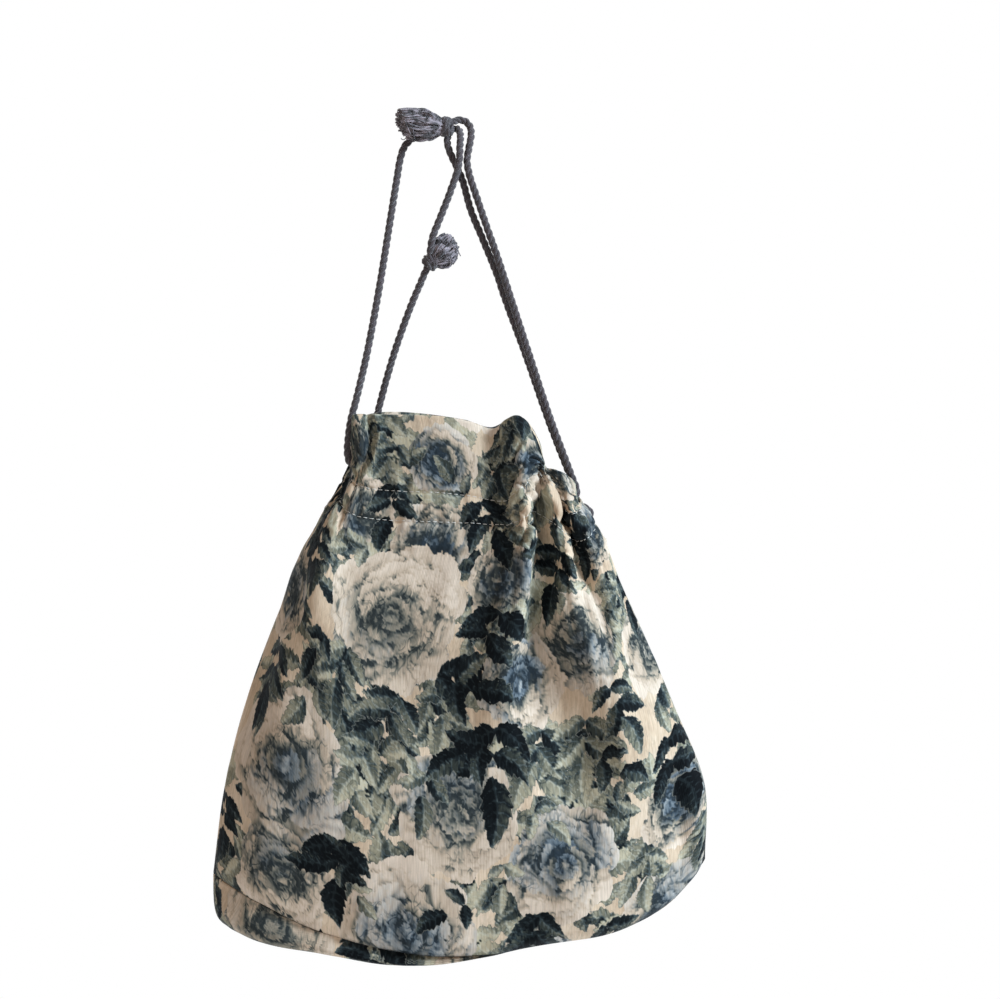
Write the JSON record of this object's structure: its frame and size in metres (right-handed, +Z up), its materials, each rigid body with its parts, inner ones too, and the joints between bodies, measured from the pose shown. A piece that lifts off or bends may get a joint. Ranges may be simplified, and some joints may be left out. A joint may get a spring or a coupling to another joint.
{
  "type": "drawstring pouch",
  "caption": "Gathered drawstring pouch of printed cotton with an oval base, a stitched casing in each panel, and opposed drawcords that end in knots with wool tassels.",
  "frame": {"origin": "hanging point: where the drawcords go over whatever holds the pouch up", "axes": "+Z up along the hanging cords, front panel towards -Y, width along X"},
  "size_m": [0.2167, 0.06, 0.3727],
  "materials": {
    "printed_cotton": "ribbed cotton weave",
    "dark_cord": "twisted cord",
    "grey_wool": "loose wool strands"
  },
  "bodies": {
    "root": {"front_panel": "printed_cotton", "back_panel": "printed_cotton", "base_panel": "printed_cotton", "front_drawcord": "dark_cord", "back_drawcord": "dark_cord", "upper_tassel": "grey_wool", "lower_tassel": "grey_wool"}
  },
  "joints": []
}
